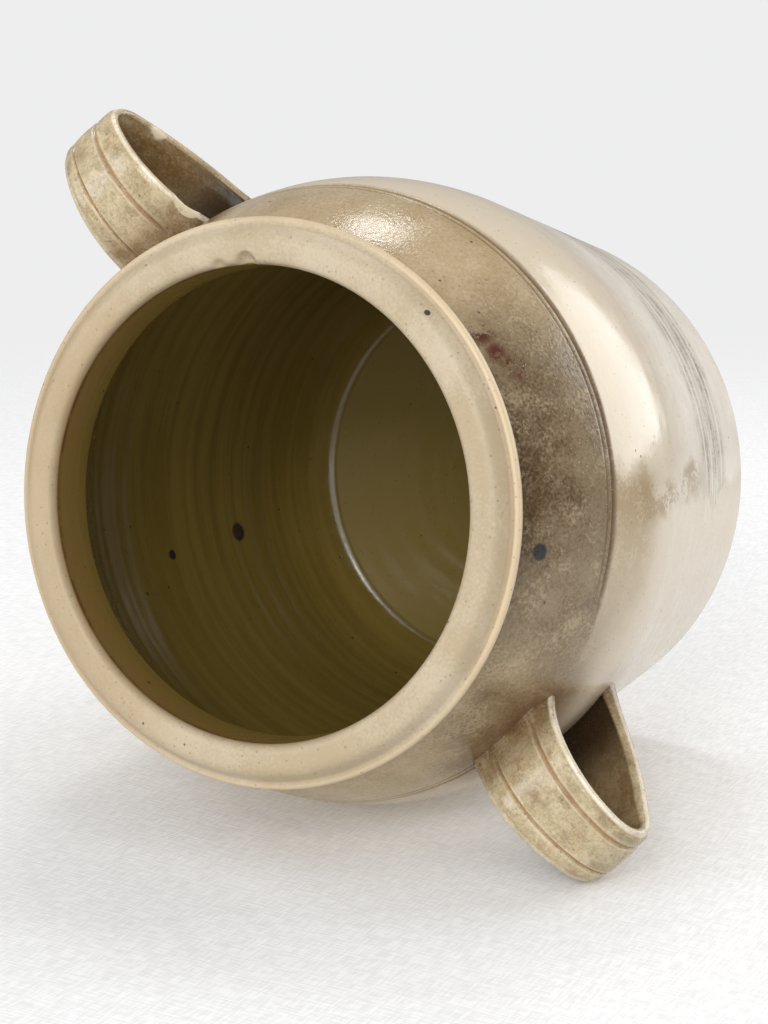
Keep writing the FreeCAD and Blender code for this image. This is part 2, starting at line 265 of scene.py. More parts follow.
# smooth noise that closes around the pot, about -1 to 1
def ringNoise(azimuth, height, seed, waves=7, turns=5, pace=0.12):
    dice = np.random.default_rng(seed)
    total = np.zeros_like(azimuth)
    for _ in range(waves):
        total += np.sin(dice.integers(1, turns + 1) * azimuth + dice.uniform(-pace, pace) * height
                        + dice.uniform(0, 2 * math.pi))
    return total / math.sqrt(waves)


def addObject(name, data):
    made = bpy.data.objects.new(name, data)
    bpy.context.scene.collection.objects.link(made)
    return made


def meshPiece(name, points, faces, attributes, material):
    mesh = bpy.data.meshes.new(name)
    mesh.from_pydata([tuple(point) for point in points], [], faces)
    for label, values in attributes.items():
        layer = mesh.attributes.new(label, "FLOAT", "POINT")
        layer.data.foreach_set("value", np.asarray(values, np.float32))
    mesh.polygons.foreach_set("use_smooth", [True] * len(mesh.polygons))
    mesh.materials.append(material)
    mesh.update()
    return addObject(name, mesh)


# the pot's glaze: four azimuths in degrees or four heights in mm say where a colour comes in
# and goes out again, and a mark is a place and a radius in metres

potLook = {
    "ash": tint(228, 219, 204), "cream": tint(204, 190, 166), "pink": tint(203, 187, 163),
    "shoulder": tint(150, 127, 88), "brown": tint(68, 46, 16), "light": tint(190, 172, 140),
    "streak": tint(124, 106, 78), "rust": tint(80, 38, 20), "cobalt": tint(20, 26, 34),
    "speck": tint(62, 46, 30), "pool": tint(104, 78, 46), "line": tint(96, 72, 46),
    "rim": tint(188, 173, 147), "rimPaintedShade": tint(166, 144, 108), "rimShade": tint(173, 155, 125),
    "rimEdge": tint(178, 136, 88), "arris": tint(212, 190, 154), "moat": tint(158, 130, 98),
    "inside": tint(121, 102, 48), "insideDark": tint(109, 90, 38), "floor": tint(129, 110, 57),
    "throat": tint(130, 104, 58), "throatEdge": tint(70, 50, 28),
    "creamSide": (-131.0, -127.0, -60.0, -20.0), "ashSide": (-131.0, -127.0, -84.0, -50.0),
    "streakSide": (-131.5, -129.0, -72.0, -40.0), "streakHeights": (26.0, 34.0, 56.0, 76.0),
    "backStreakSide": (20.0, 40.0, 110.0, 140.0),
    "borderSide": (-134.0, -130.5, -128.5, -124.0), "borderHeights": (58.0, 82.0, 140.0, 158.0),
    "apronSide": (-156.0, -132.0, -126.0, -120.0), "apronHeights": (122.0, 142.0, 158.0, 160.0),
    "darkSide": (-184.0, -138.0, -104.0, -78.0), "backDarkSide": (30.0, 60.0, 100.0, 150.0),
    "poolSide": (-186.0, -180.0, -172.0, -158.0), "poolHeights": (158.0, 166.0, 182.0, 194.0),
    "underSide": (-146.0, -135.0, -86.0, -60.0), "underHeights": (155.6, 157.6, 158.2, 159.2),
    "rimPaintedShadeSide": (-20.0, 20.0, 90.0, 140.0), "rimNearSide": (-175.0, -150.0, -90.0, -60.0),
    "beadSide": (-140.0, -125.0, -95.0, -80.0),
    "rustMarks": [((-0.0035, -0.0925, 0.1895), 0.0075), ((-0.011, -0.0925, 0.1885), 0.006),
                  ((-0.017, -0.093, 0.1868), 0.006), ((-0.0205, -0.0945, 0.1836), 0.006)],
    "cobaltMarks": [((-0.0697, -0.0638, 0.1874), 0.0034), ((0.0417, 0.0873, 0.0614), 0.0046),
                    ((0.0397, 0.094, 0.1049), 0.0024), ((0.0076, -0.0896, 0.2092), 0.0013),
                    ((0.0615, -0.0516, 0.2105), 0.0019)],
}


# round marks in the object's own space, with a soft share of their radius
def marks(tree, place, listed, soft):
    total = 0.0
    for centre, radius in listed:
        gap = vectorMath(tree, "DISTANCE", place, centre).outputs["Value"]
        mark = between(tree, gap, radius * (1 - soft), radius, 1.0, 0.0)
        total = most(tree, total, mark)
    return total


def makePotGlaze():
    look = potLook
    material, tree = newMaterial("potGlaze")
    place = node(tree, "ShaderNodeTexCoord").outputs["Object"]
    turned = useGroup(tree, turnedGroup, Vector=place)
    height, azimuth = turned.outputs["Height"], turned.outputs["Azimuth"]
    inside, rim, line, root = (carried(tree, name) for name in ("inside", "rim", "line", "root"))

    broad = cloudsOf(tree, place, 22.0, 1.0)
    close = cloudsOf(tree, place, 90.0, 1.0)
    wander = noise(tree, place, 28.0, 3.0)
    shift = times(tree, calc(tree, "SUBTRACT", wander, 0.5), 60.0)
    upShifted = calc(tree, "MULTIPLY_ADD", shift, 0.22, height)
    roundShifted = calc(tree, "MULTIPLY_ADD", shift, 0.35, azimuth)

    def side(name):
        return hump(tree, roundShifted, *look[name])

    # belly: cream, ashy on one side, with brushed streaks low down
    lower = blend(tree, broad, look["pink"], look["cream"])
    lower = blend(tree, times(tree, side("creamSide"), 0.5), lower, look["cream"])
    ash = times(tree, side("ashSide"), between(tree, height, 78.0, 118.0, 0.85, 0.0))
    lower = blend(tree, ash, lower, look["ash"])
    brushed = noise(tree, turned.outputs["Around"], 1.0, 5.0, 0.7)
    streaks = times(tree, between(tree, brushed, 0.39, 0.53),
                    hump(tree, upShifted, *look["streakHeights"]))
    streaks = times(tree, streaks, between(tree, close, 0.25, 0.6, 1.0, 0.5))
    streaks = times(tree, streaks, most(tree, side("streakSide"), side("backStreakSide")))
    lower = blend(tree, times(tree, streaks, 0.8), lower, look["streak"])
    border = times(tree, side("borderSide"), hump(tree, height, *look["borderHeights"]))
    border = times(tree, border, between(tree, close, 0.35, 0.65))
    lower = blend(tree, times(tree, border, 0.8), lower, look["shoulder"])
    apron = times(tree, side("apronSide"), hump(tree, height, *look["apronHeights"]))
    apron = times(tree, apron, between(tree, close, 0.1, 0.6, 0.35, 0.75))
    lower = blend(tree, apron, lower, look["shoulder"])

    # shoulder: browner, and nearly black-brown where the ash has run
    pool = calc(tree, "ADD", side("poolSide"), between(tree, roundShifted, 172.0, 180.0))
    pool = times(tree, pool, hump(tree, upShifted, *look["poolHeights"]))
    dark = most(tree, side("darkSide"), times(tree, side("backDarkSide"), 0.7))
    dark = most(tree, dark, times(tree, pool, 0.7))
    dark = times(tree, dark, between(tree, broad, 0.05, 0.75, 1.0, 0.62))
    upper = blend(tree, broad, look["shoulder"], look["light"])
    upper = blend(tree, dark, upper, look["brown"])
    upper = blend(tree, between(tree, close, 0.5, 0.9, 0.0, 0.3), upper, look["light"])

    # the change from one to the other is sharp at the line, and wide where the line is worn
    wornSide = calc(tree, "ADD", between(tree, azimuth, -164.0, -134.0, 1.0, 0.0),
                    between(tree, azimuth, 120.0, 170.0))
    sharp = between(tree, calc(tree, "MULTIPLY_ADD", shift, 0.04, height), 156.6, 158.6)
    wide = between(tree, upShifted, 128.0, 172.0)
    above = calc(tree, "MULTIPLY_ADD", calc(tree, "SUBTRACT", wide, sharp), wornSide, sharp)
    outside = blend(tree, above, lower, upper)
    under = times(tree, hump(tree, height, *look["underHeights"]),
                  hump(tree, azimuth, *look["underSide"]))
    outside = blend(tree, times(tree, under, 0.3), outside, look["line"])
    # the incised lines are darker: partly glaze lying in the cut, partly painted shade in it
    outside = blend(tree, times(tree, line, 0.85), outside, look["line"])
    pooled = times(tree, root, between(tree, close, 0.0, 1.0, 0.85, 0.55))
    outside = blend(tree, pooled, outside, look["pool"])
    rust = times(tree, marks(tree, place, look["rustMarks"], 0.8),
                 between(tree, close, 0.3, 0.52))
    outside = blend(tree, rust, outside, look["rust"])

    # rim: pale, with a thin orange line where the glaze breaks over its edges, painted shade on
    # one side, and painted shade in the groove by its outer edge
    mouth, arris, moat = (carried(tree, name) for name in ("mouthEdge", "arris", "moat"))
    near = side("rimNearSide")
    rimColour = blend(tree, between(tree, broad, 0.2, 0.8), look["rimShade"], look["rim"])
    rimColour = blend(tree, between(tree, close, 0.1, 0.5, 0.45, 0.0), rimColour,
                      look["rimShade"])
    # painted shade: the flat rim is coloured darker and browner on one side
    rimColour = blend(tree, times(tree, side("rimPaintedShadeSide"), 0.6), rimColour, look["rimPaintedShade"])
    # painted shade in the groove by the rim's outer edge, strongest on the near side
    rimColour = blend(tree, times(tree, moat, times(tree, near, 0.35)), rimColour, look["moat"])
    arrisShare = times(tree, arris, calc(tree, "MULTIPLY_ADD", near, 0.45, 0.35))
    rimColour = blend(tree, arrisShare, rimColour, look["arris"])
    breaks = times(tree, mouth, between(tree, close, 0.3, 0.6, 0.3, 0.8))
    breakColour = blend(tree, inside, look["rimEdge"], look["throatEdge"])

    # inside: olive brown, ringed by the potter's fingers
    rings = noise(tree, turned.outputs["Around"], 0.9, 4.0, 0.6)
    inner = blend(tree, between(tree, rings, 0.38, 0.62), look["insideDark"], look["inside"])
    inner = blend(tree, between(tree, broad, 0.3, 0.9, 0.0, 0.5), inner, look["inside"])
    inner = blend(tree, carried(tree, "throat"), inner, look["throat"])
    inner = blend(tree, carried(tree, "floorShare"), inner, look["floor"])

    colour = blend(tree, rim, outside, rimColour)
    colour = blend(tree, inside, colour, inner)
    colour = blend(tree, breaks, colour, breakColour)

    small = specksOf(tree, place, 560.0, 0.32, 0.3)
    large = specksOf(tree, place, 120.0, 0.1, 0.5)
    rare = specksOf(tree, place, 46.0, 0.062, 0.35)
    specks = most(tree, times(tree, small, 0.34), times(tree, large, 0.8))
    specks = most(tree, specks, times(tree, rare, 0.85))
    colour = blend(tree, specks, colour, look["speck"])
    dots = marks(tree, place, look["cobaltMarks"], 0.35)
    colour = blend(tree, times(tree, dots, 0.92), colour, look["cobalt"])

    # skin: beads of ash on the shoulder, and a dimple at each larger speck
    beads = specksOf(tree, place, 620.0, 0.42, 0.35)
    beadShare = times(tree, above, side("beadSide"))
    beadShare = times(tree, beadShare, calc(tree, "SUBTRACT", 1.0, rim))
    beads = times(tree, beads, times(tree, beadShare, 0.16))
    pits = calc(tree, "MULTIPLY_ADD", large, 0.05, times(tree, beads, -1.0))
    peel = calc(tree, "MULTIPLY_ADD", above, 0.1, 0.05)
    peel = calc(tree, "MULTIPLY_ADD", inside, -0.02, peel)
    skin = useGroup(tree, skinGroup, Vector=place, Peel=peel, Swell=0.15, Pits=pits)
    rough = between(tree, close, 0.2, 0.8, 0.14, 0.25)
    rough = calc(tree, "MULTIPLY_ADD", rim, 0.25, rough)
    finishGlaze(tree, colour, rough, skin)
    return material


potGlaze = makePotGlaze()

# the thrown pot: lengths in mm, and chips are (place, size, depth)

pot = {
    "height": 211.3, "bellyHeight": 127.0, "belly": 112.2, "bellyCurve": 140.0, "slope": 6.78,
    "foot": 98.1, "wall": 8.5, "floor": 11.0, "mouth": 79.0, "throat": 189.4,
    "cornerTop": 44.0, "cornerBend": 22, "segments": 640, "wobble": 0.3,
    "ringPitch": 9.5, "insideRings": 0.13, "outsideRings": 0.02,
    "floorPitch": 11, "floorRings": 0.1,
    "lineHeight": 159.0, "lineDepth": 0.8, "fineLine": 161.7, "fineDepth": 0.34,
    "lineRidge": 0.10, "wornFrom": (140, 153), "wornTo": (176, 179.9),
    "chips": [((62.0, -49.8, 210.6), 4.2, 2.6), ((67.9, -41.2, 210.6), 2.8, 1.2)],
    "lowRoot": (115, 6), "highRoot": (159, 7), "rootSide": -7.4, "rootHalf": 20, "rootPool": 17,
}


# runs of the profile from the middle of the foot, up the outside, and down the inside
def potProfile():
    p = pot
    top, mouth, throat = p["height"], p["mouth"], p["throat"]
    beltCentre = (p["belly"] - p["bellyCurve"], p["bellyHeight"])
    dome = (0.0, p["bellyHeight"])
    innerBelly = p["belly"] - p["wall"]
    belt = arcPoints(beltCentre, p["bellyCurve"], -p["slope"], 0, 16)
    innerBelt = arcPoints(beltCentre, p["bellyCurve"] - p["wall"], 0, -p["slope"], 12)
    lean = math.tan(math.radians(p["slope"]))
    beltEnd, beltFoot = innerBelt[-1]
    wallFoot = np.array([beltEnd - (beltFoot - p["cornerTop"]) * lean, p["cornerTop"]])
    bend = wallFoot - (p["cornerBend"] * lean, p["cornerBend"])
    runs = [
        ("foot", np.linspace((0, 0), (94.0, 0), 30)),
        ("foot", bezierPoints([(96.4, 0), (97.9, 0.05), (p["foot"], 1.7)], 6)),
        ("outside", np.linspace((p["foot"] + 0.2, 3.4), belt[0], 60)[:-1]),
        ("outside", belt[:-1]),
        ("outside", arcPoints(dome, p["belly"], 0, 14.8, 22)),
        ("outside", arcPoints(dome, p["belly"], 15.0, 18.8, 44)),
        ("outside", arcPoints(dome, p["belly"], 19.0, 35.6, 30)),
        ("outside", bezierPoints([(90.4, 193.2), (89.9, 194.6), (91.6, 197.2)], 6)),
        ("skirt", np.linspace((92.0, 197.8), (93.7, 200.9), 4)),
        ("skirt", bezierPoints([(94.0, 201.5), (94.6, 202.6), (94.85, 203.9)], 4)),
        ("arris", bezierPoints([(94.9, 204.4), (94.85, 205.7), (93.6, 205.95)], 8)),
        ("moat", bezierPoints([(93.0, 205.95), (92.3, 205.95), (91.8, 206.5)], 5)),
        ("bevel", np.linspace((91.4, 207.1), (90.5, 208.5), 4)),
        ("rim", bezierPoints([(90.1, 209.1), (88.9, 210.9), (86.8, top - 0.1)], 9)),
        ("rim", bezierPoints([(86.2, top - 0.04), (84.2, top), (82.4, top - 0.12)], 10)),
        ("mouth", bezierPoints([(81.9, top - 0.2), (79.5, top - 0.5), (79.1, top - 3.2)], 10)),
        ("throat", np.linspace((mouth, top - 4.2), (mouth, throat + 2.4), 9)),
        ("throat", bezierPoints([(mouth, throat + 1.6), (mouth + 0.1, throat),
                                 (mouth + 1.8, throat - 0.9)], 6)),
        ("inside", bezierPoints([(81.6, throat - 1.3), (83.4, throat - 2.0),
                                 (85.3, throat - 3.9)], 5)),
        ("inside", arcPoints(dome, innerBelly, 33.2, 0, 54)[:-1]),
        ("inside", innerBelt[:-1]),
        ("inside", np.linspace(innerBelt[-1], wallFoot, 66)[:-1]),
        ("corner", bezierPoints([wallFoot, bend, (79.4, 12.5)], 28)[:-1]),
        ("corner", bezierPoints([(79.4, 12.5), (77.6, 11.1), (75.8, 11.02)], 9)),
        ("floor", np.linspace((75.2, p["floor"]), (0.0, p["floor"]), 60)),
    ]
    labels = [label for label, points in runs for _ in points]
    return np.vstack([points for _, points in runs]), np.array(labels)


# radius, height and mask of the incised lines, for each point of the profile round the pot
def potSurface(profile, labels, azimuth):
    p = pot
    turn = 2 * math.pi
    radius = np.repeat(profile[:, :1], len(azimuth), axis=1)
    height = np.repeat(profile[:, 1:], len(azimuth), axis=1)
    angle = np.repeat(azimuth[None, :], len(profile), axis=0)
    inner = np.isin(labels, ["inside", "corner"])[:, None] * 1.0
    outer = (labels == "outside")[:, None] * 1.0

    # finger rings climb the inside in a spiral, and show faintly outside and on the floor
    climb = height - p["ringPitch"] * angle / turn
    strength = 0.65 + 0.35 * ringNoise(angle, height, 3)
    rings = np.sin(turn * climb / p["ringPitch"] + 0.8 * ringNoise(angle, height, 5, turns=3))
    fade = smoothStep(height, 20, 34) * (1 - smoothStep(height, 176, 186))
    radius += inner * p["insideRings"] * strength * rings * fade
    onFloor = (labels == "floor")[:, None] * smoothStep(75 - radius, 0, 12)
    onFloor = onFloor * smoothStep(radius, 2, 8)
    wound = radius - p["floorPitch"] * angle / turn
    height += onFloor * p["floorRings"] * np.sin(turn * wound / p["floorPitch"])
    fade = smoothStep(height, 4, 30) * (1 - smoothStep(height, 182, 192))
    radius += outer * fade * p["outsideRings"] * (rings * strength - 1.4)
    oval = 1 + np.sin(2 * angle + 0.7)
    radius -= p["wobble"] * 0.5 * oval * smoothStep(height, 2, 60) * (radius > 60)

    # two incised lines, cut more and less deep, and gone where slip has filled them
    depthShare = 0.8 + 0.2 * ringNoise(angle, height, 8, turns=9)
    along = -np.degrees((angle + math.pi) % turn - math.pi)
    cut = 1 - smoothStep(along, *p["wornFrom"]) * (1 - smoothStep(along, *p["wornTo"]))
    broadLine = np.exp(-np.abs((height - p["lineHeight"]) / 0.62) ** 2.6) * cut
    fineLine = np.exp(-np.abs((height - p["fineLine"]) / 0.42) ** 2.2) * cut
    ridge = np.exp(-((height - p["lineHeight"] + 1.55) / 0.6) ** 2) * cut
    radius -= outer * depthShare * (p["lineDepth"] * broadLine + p["fineDepth"] * fineLine)
    radius += outer * p["lineRidge"] * ridge * (height > 150)
    return radius, height, angle, outer * np.clip(broadLine + 0.8 * fineLine, 0, 1)


# chips are pushed in and down from the mouth's edge
def chipMouth(points):
    for centre, size, deep in pot["chips"]:
        gap = np.linalg.norm(points - np.array(centre), axis=1)
        dent = deep * np.clip(1 - (gap / size) ** 2, 0, 1) ** 1.5
        reach = np.hypot(points[:, 0], points[:, 1]).clip(1)
        outward = np.c_[points[:, :2] / reach[:, None], -np.ones(len(points))]
        points += dent[:, None] * outward * 0.7


# pools of glaze round the handles' roots
def rootMask(points, height):
    p = pot
    lowGap, highGap = (np.maximum(np.abs(height - level) - half, 0)
                       for level, half in (p["lowRoot"], p["highRoot"]))
    sideGap = np.maximum(np.abs(points[:, 1] - p["rootSide"]) - p["rootHalf"], 0)
    gap = np.minimum(np.hypot(lowGap, sideGap), np.hypot(highGap, sideGap))
    root = (np.abs(points[:, 0]) > 70) * (1 - smoothStep(gap, 0, p["rootPool"]))
    return root * (0.45 + 0.55 * smoothStep(height, 135, 160))


def makePot():
    profile, labels = potProfile()
    count, turns = len(profile), pot["segments"]
    azimuth = np.linspace(0, 2 * math.pi, turns, endpoint=False)
    radius, height, angle, line = potSurface(profile, labels, azimuth)
    points = np.stack([radius * np.cos(angle), radius * np.sin(angle), height], axis=-1)
    points = points.reshape(-1, 3)
    height = height.ravel()
    chipMouth(points)

    # the first and last rings lie on the axis: each becomes one point
    grid = np.arange(count * turns).reshape(count, turns)
    following = np.roll(grid, -1, axis=1)
    bottom, top = np.full(turns, grid[0][0]), np.full(turns, grid[-1][0])
    faces = []
    for row in range(1, count - 2):
        faces += np.c_[grid[row], following[row], following[row + 1], grid[row + 1]].tolist()
    faces += np.c_[grid[1], bottom, following[1]].tolist()
    faces += np.c_[grid[-2], following[-2], top].tolist()
    kept = np.ones(count * turns, bool)
    kept[grid[0][1:]] = False
    kept[grid[-1][1:]] = False
    renumbered = np.cumsum(kept) - 1
    faces = [[int(renumbered[index]) for index in face] for face in faces]

    def on(*names):
        return np.repeat(np.isin(labels, names).astype(float), turns)

    masks = {
        "inside": on("inside", "corner", "throat", "floor"),
        "throat": on("throat") * smoothStep(height, 186, 206),
        "floorShare": on("floor"),
        "rim": on("rim", "mouth", "bevel", "moat", "arris", "skirt"),
        "line": line.ravel(),
        "root": on("outside") * rootMask(points, height),
        "mouthEdge": on("mouth", "throat") * (1 - smoothStep(np.abs(height - 207.4), 0.4, 1.6)),
        "arris": on("arris", "skirt") * smoothStep(height, 202, 205),
        "moat": on("moat"),
    }
    masks = {label: values[kept] for label, values in masks.items()}
    piece = meshPiece("thrown_pot", points[kept] * mm, faces, masks, potGlaze)
    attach(piece, "root")
    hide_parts("pot_body")
    print("pot made", len(piece.data.vertices), "points")


makePot()

# the handles' glaze, with painted shade on the straps' inner faces and a painted highlight along
# their edges

handleLook = {
    "base": tint(194, 177, 143), "olive": tint(171, 155, 119), "brown": tint(124, 97, 64),
    "pooled": tint(104, 77, 45), "orange": tint(160, 114, 72), "pale": tint(212, 197, 166),
    "speck": tint(70, 52, 34), "rimLight": tint(236, 224, 202), "inner": tint(102, 74, 34),
    "deep": tint(46, 30, 12), "clay": tint(214, 200, 172), "vein": tint(112, 106, 88),
}


def makeHandleGlaze():
    look = handleLook
    material, tree = newMaterial("handleGlaze")
    place = node(tree, "ShaderNodeTexCoord").outputs["Object"]
    groove, ridge, edge, root, inner, depth, chip = (
        carried(tree, name)
        for name in ("groove", "ridge", "edge", "root", "inner", "depth", "chip"))
    broad = cloudsOf(tree, place, 45.0, 1.2)
    close = cloudsOf(tree, place, 120.0, 1.4, 1100.0)
    patches = noise(tree, place, 110.0, 5.0, 0.75)
    warm = noise(tree, place, 190.0, 5.0, 0.7)
    veins = hump(tree, noise(tree, place, 260.0, 4.0, 0.7), 0.46, 0.495, 0.505, 0.54)

    colour = blend(tree, broad, look["olive"], look["base"])
    for share, name in [
            (between(tree, patches, 0.44, 0.68, 0.0, 0.5), "brown"),
            (between(tree, warm, 0.52, 0.7, 0.0, 0.4), "orange"),
            (times(tree, veins, 0.4), "vein"),
            (between(tree, close, 0.5, 0.95, 0.0, 0.35), "pale"),
            (between(tree, close, 0.05, 0.4, 0.35, 0.0), "brown"),
            (times(tree, groove, 0.8), "orange"),
            (times(tree, ridge, 0.5), "pale"),
            # the inner faces are darker brown: partly the glaze's own colour, partly painted
            # shade
            (times(tree, inner, between(tree, broad, 0.2, 0.8, 0.9, 0.6)), "inner"),
            (times(tree, root, between(tree, close, 0.0, 1.0, 0.95, 0.65)), "pooled"),
            # painted highlight along the straps' edges, over the glaze breaking pale there
            (times(tree, edge, between(tree, warm, 0.4, 0.6, 0.9, 0.5)), "rimLight")]:
        colour = blend(tree, share, colour, look[name])
    small = specksOf(tree, place, 480.0, 0.32, 0.42)
    large = specksOf(tree, place, 150.0, 0.11, 0.42)
    specks = most(tree, times(tree, small, 0.4), times(tree, large, 0.8))
    colour = blend(tree, specks, colour, look["speck"])
    # painted shadow: the inner faces go nearly black towards the wall, inside the loops
    colour = blend(tree, times(tree, inner, between(tree, depth, 0.0, 0.8)), colour, look["deep"])
    bare = times(tree, chip, between(tree, close, 0.2, 0.6, 0.5, 1.0))
    colour = blend(tree, bare, colour, look["clay"])
    skin = useGroup(tree, skinGroup, Vector=place, Peel=0.07, Swell=0.3, Pits=0.0)
    rough = between(tree, close, 0.2, 0.8, 0.16, 0.3)
    finishGlaze(tree, colour, rough, skin)
    return material


handleGlaze = makeHandleGlaze()

# the two strap handles: near is the side towards -Y, which has the thinner edge

handle = {
    "outerEnd": (154.6, 158.1), "topRoot": (108.57, 155.3), "bottomRoot": (112.04, 120.4),
    "topSweep": 30.0, "topBend": 9.5, "bottomBend": 9.5, "bottomSweep": 100.0,
    "topSink": 3.0, "bottomSink": 7.0, "strapHalf": 13.5, "rootHalf": 19.4, "thickness": 5.6,
    "nearEdge": 2.4, "farEdge": 4.6, "edgeRound": 0.72, "sideRib": 1.0, "middleRib": 1.9,
    "grooveWidth": 0.7, "grooveFloor": 0.15,
    "flare": 3.4, "flareReach": 11.0, "nearFlare": 0.8, "nearReach": 4.0, "flareFall": 2.3,
}
rightStrap = {
    "turn": -3.8, "seed": 11, "ribShare": 0.4, "ribShift": 2.6, "lowerEdge": 3.0,
    "chips": [((147.8, -14.4, 146.8), 5.0, 1.4), ((112.6, -18.0, 166.0), 6.0, 0.7)],
}
leftStrap = {
    "turn": 183.8, "seed": 23, "ribShare": 0.47, "ribShift": -0.5, "lowerEdge": 5.2,
    "chips": [],
}


def wallRadius(height):
    p = pot
    rise = height - p["bellyHeight"]
    dome = np.sqrt(np.maximum(p["belly"] ** 2 - rise ** 2, 0))
    belt = p["belly"] - p["bellyCurve"] + np.sqrt(p["bellyCurve"] ** 2 - rise ** 2)
    return np.where(height > p["bellyHeight"], dome, belt)


# point at two distances from two others, the higher or the lower one
def meeting(first, firstReach, second, secondReach, above):
    first, second = np.array(first, float), np.array(second, float)
    gap = np.linalg.norm(second - first)
    along = (firstReach ** 2 - secondReach ** 2 + gap ** 2) / (2 * gap)
    aside = math.sqrt(firstReach ** 2 - along ** 2)
    right = (second - first) / gap
    square = np.array([-right[1], right[0]])
    spots = [first + along * right + side * aside * square for side in (1, -1)]
    return (max if above else min)(spots, key=lambda item: item[1])


# inner face of the strap in side view, from the upper root round to the lower one
def strapPath():
    h = handle
    endX, endZ = h["outerEnd"]
    topRoot, bottomRoot = h["topRoot"], h["bottomRoot"]
    topSweep, bottomSweep = h["topSweep"], h["bottomSweep"]
    upperBend = np.array([endX - h["topBend"], endZ])
    lowerBend = np.array([endX - h["bottomBend"], endZ])
    upperLeg = meeting(topRoot, topSweep, upperBend, topSweep - h["topBend"], False)
    lowerLeg = meeting(bottomRoot, bottomSweep, lowerBend, bottomSweep - h["bottomBend"], True)

    def heading(centre, point):
        return math.degrees(math.atan2(point[1] - centre[1], point[0] - centre[0]))

    def onward(degrees):
        return np.array([math.sin(math.radians(degrees)), -math.cos(math.radians(degrees))])

    upperTurn, lowerTurn = heading(upperLeg, upperBend), heading(lowerLeg, lowerBend)
    upperStart, lowerEnd = heading(upperLeg, topRoot), heading(lowerLeg, bottomRoot)
    sunkTop = topRoot - onward(upperStart) * h["topSink"]
    sunkBottom = bottomRoot + onward(lowerEnd) * h["bottomSink"]
    path = np.vstack([np.linspace(sunkTop, topRoot, 20)[:-1],
                      arcPoints(upperLeg, topSweep, upperStart, upperTurn, 200)[:-1],
                      arcPoints(upperBend, h["topBend"], upperTurn, 0, 60)[:-1],
                      arcPoints(lowerBend, h["bottomBend"], 0, lowerTurn, 60)[:-1],
                      arcPoints(lowerLeg, bottomSweep, lowerTurn, lowerEnd, 200),
                      np.linspace(bottomRoot, sunkBottom, 20)[1:]])
    steps = np.r_[0, np.cumsum(np.linalg.norm(np.diff(path, axis=0), axis=1))]
    even = np.linspace(0, steps[-1], 240)
    path = np.c_[np.interp(even, steps, path[:, 0]), np.interp(even, steps, path[:, 1])]
    # clay doesn't change its bend at once: the path is eased over a few millimetres
    padded = np.pad(path, ((4, 4), (0, 0)), mode="reflect", reflect_type="odd")
    eased = [np.convolve(padded[:, axis], bellWeights(), "valid") for axis in (0, 1)]
    return np.stack(eased, axis=1), even


# height of the outer face above the edges over the width of the strap, and the masks of its
# grooves and of the sharp lines beside them
def ribs(across, width, flat, worn, share):
    h = handle
    ribEdge = width * share
    sideStart = ribEdge + h["grooveWidth"]
    gap = np.abs(across)
    middle = smoothStep(ribEdge + 0.2 - gap, 0, 0.8)
    side = smoothStep(gap, sideStart - 0.3, sideStart + 0.4)
    side = side * smoothStep(flat + 0.6 - gap, 0, 1.6)
    sideMiddle, sideHalf = (sideStart + flat) / 2, (flat - sideStart) / 2
    crown = np.clip(1 - (gap / ribEdge) ** 2, 0, 1)
    sideCrown = np.clip(1 - ((gap - sideMiddle) / sideHalf) ** 2, 0, 1)
    line = np.exp(-((gap - ribEdge * 0.93) / 0.45) ** 2)
    line = line + 0.8 * np.exp(-((gap - sideStart - 1.1) / 0.45) ** 2)
    rise = middle * (h["middleRib"] - 0.42 * worn - 0.3 * (1 - crown))
    rise = rise + side * (h["sideRib"] + 0.1 - 0.35 * (1 - sideCrown))
    rise = rise + 0.14 * line * (middle + side)
    cut = np.exp(-((gap - ribEdge - h["grooveWidth"] / 2) / 0.38) ** 2)
    return rise - h["grooveFloor"], cut, line * (middle + side)


